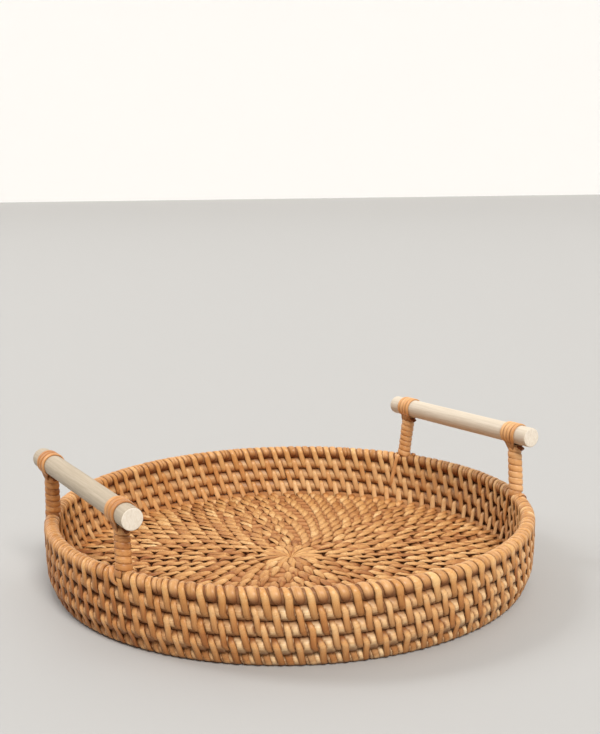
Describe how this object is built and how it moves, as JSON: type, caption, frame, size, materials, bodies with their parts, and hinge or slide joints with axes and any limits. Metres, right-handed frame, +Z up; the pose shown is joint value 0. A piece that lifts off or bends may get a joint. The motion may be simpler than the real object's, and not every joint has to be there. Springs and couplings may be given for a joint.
{
  "type": "serving tray",
  "caption": "Round coiled cane serving tray with a low stitched wall and a turned wooden dowel lashed on wrapped posts at each side as a handle.",
  "frame": {"origin": "centre of the round footprint, on the surface that the tray stands on", "axes": "+Z up; the handles stand on +X and -X and their dowels lie along Y"},
  "size_m": [0.3, 0.3, 0.0862],
  "materials": {
    "cane_core": "round cane core, fine lengthwise grain, satin",
    "wall_peel": "flat cane peel, orange tan, satin with a natural sheen",
    "floor_peel": "flat cane peel, paler tan, satin",
    "binding_peel": "narrow cane binding strip, pale orange tan, satin",
    "dowel_wood": "pale unvarnished hardwood, sanded",
    "pin_steel": "plain steel brad"
  },
  "bodies": {
    "root": {"base_coil_01": "cane_core", "base_coil_02": "cane_core", "base_coil_03": "cane_core", "base_coil_04": "cane_core", "base_coil_05": "cane_core", "base_coil_06": "cane_core", "base_coil_07": "cane_core", "base_coil_08": "cane_core", "base_coil_09": "cane_core", "base_coil_10": "cane_core", "base_coil_11": "cane_core", "base_coil_12": "cane_core", "base_coil_13": "cane_core", "base_coil_14": "cane_core", "base_coil_15": "cane_core", "base_coil_16": "cane_core", "centre_curl": "cane_core", "wall_coil_1": "cane_core", "wall_coil_2": "cane_core", "wall_coil_3": "cane_core", "wall_coil_4": "cane_core", "rim_coil": "cane_core", "base_stitches_1": "floor_peel", "base_stitches_2": "floor_peel", "base_stitches_3": "floor_peel", "base_stitches_4": "floor_peel", "base_stitches_5": "floor_peel", "star_stitches": "floor_peel", "corner_stitches": "wall_peel", "wall_stitches_1": "wall_peel", "wall_stitches_2": "wall_peel", "wall_stitches_3": "wall_peel", "rim_stitches": "wall_peel", "rim_wraps": "wall_peel", "right_front_post": "cane_core", "right_front_post_wrap": "binding_peel", "right_front_lashing": "binding_peel", "right_front_tie": "binding_peel", "right_back_post": "cane_core", "right_back_post_wrap": "binding_peel", "right_back_lashing": "binding_peel", "right_back_tie": "binding_peel", "left_front_post": "cane_core", "left_front_post_wrap": "binding_peel", "left_front_lashing": "binding_peel", "left_front_tie": "binding_peel", "left_back_post": "cane_core", "left_back_post_wrap": "binding_peel", "left_back_lashing": "binding_peel", "left_back_tie": "binding_peel", "right_dowel": "dowel_wood", "left_dowel": "dowel_wood", "dowel_pins": "pin_steel", "foot_pins": "pin_steel"}
  },
  "joints": []
}
